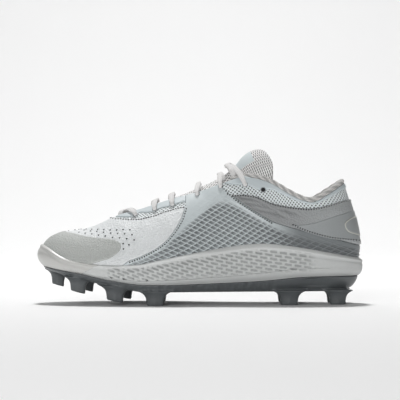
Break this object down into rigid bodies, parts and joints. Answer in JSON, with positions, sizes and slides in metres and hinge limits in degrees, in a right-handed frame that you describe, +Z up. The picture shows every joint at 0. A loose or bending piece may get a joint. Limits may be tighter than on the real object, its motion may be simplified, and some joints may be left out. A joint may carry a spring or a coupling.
{
  "type": "baseball cleat",
  "caption": "Low-top baseball cleat for the left foot with a studded outsole, foam midsole, toe bumper, lattice-caged upper, padded tongue, knitted collar and crossed laces",
  "frame": {"origin": "on the floor under the middle of the shoe's bounding box", "axes": "+Z up, the toe points to -X and the heel to +X, the outer side of the foot faces -Y"},
  "size_m": [0.2974, 0.1144, 0.1404],
  "materials": {
    "outsole": "satin moulded",
    "foam": "matt moulded foam",
    "bumper": "smooth satin",
    "mesh": "woven mesh",
    "leather": "fine grained, satin",
    "film": "pebbled film",
    "cage": "satin moulded film",
    "quarter": "grained, satin",
    "counter": "satin moulded film",
    "patch": "satin",
    "knit": "coarse knit",
    "lace": "woven cord"
  },
  "bodies": {
    "root": {"outsole": "outsole", "midsole": "foam", "toe_bumper": "bumper", "upper": "mesh", "vamp": "leather", "toe_cap": "film", "eyestay_outer": "cage", "eyestay_inner": "cage", "cage": "cage", "quarter": "quarter", "collar_band": "mesh", "heel_counter": "counter", "heel_patch": "patch", "collar_roll": "knit", "tongue": "knit", "insole": "knit", "lace_row_1": "lace", "lace_row_2": "lace", "lace_row_3": "lace", "lace_row_4": "lace", "lace_row_5": "lace", "lace_row_6": "lace"}
  },
  "joints": []
}
